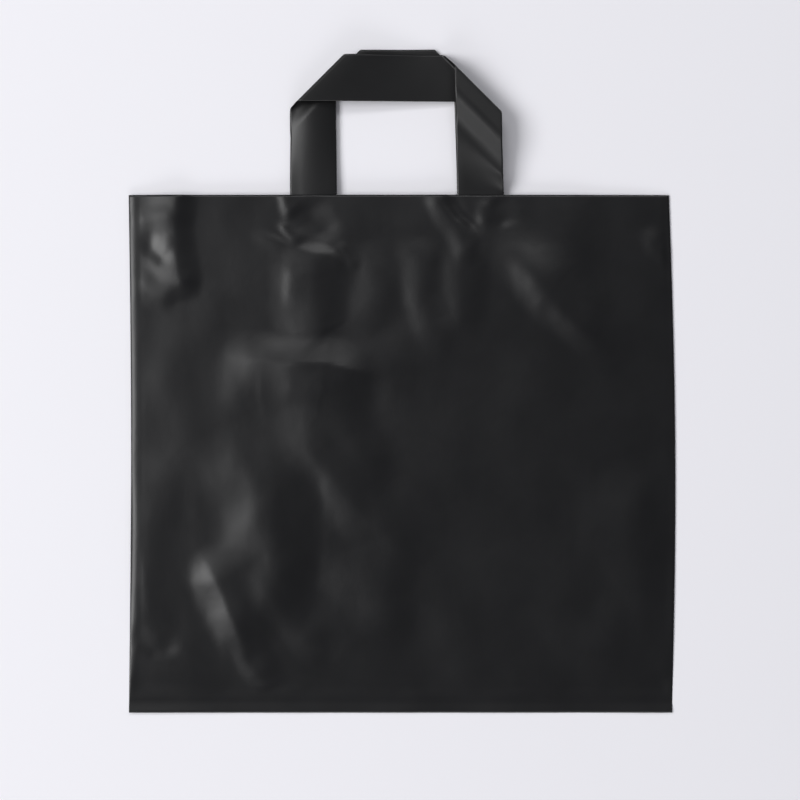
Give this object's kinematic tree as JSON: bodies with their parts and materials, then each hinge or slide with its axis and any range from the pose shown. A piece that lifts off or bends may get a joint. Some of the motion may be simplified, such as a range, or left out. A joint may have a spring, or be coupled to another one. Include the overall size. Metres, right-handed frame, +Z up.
{
  "type": "plastic carrier bag",
  "caption": "Black film carrier bag with two soft strip loop handles, lying flat with its mouth slightly open.",
  "frame": {"origin": "on the supporting surface, under the middle of the lying bag's outline", "axes": "+Y from the bottom weld towards the mouth and the handles, +Z up out of the front wall, +X to the right when the front wall is seen with the handles at the top"},
  "size_m": [0.4554, 0.552, 0.0216],
  "materials": {
    "black_film": "satin blown polyethylene film, lightly creased",
    "black_strip": "satin thick polyethylene strip"
  },
  "bodies": {
    "root": {"bag_body": "black_film", "front_handle": "black_strip", "rear_handle": "black_strip"}
  },
  "joints": []
}
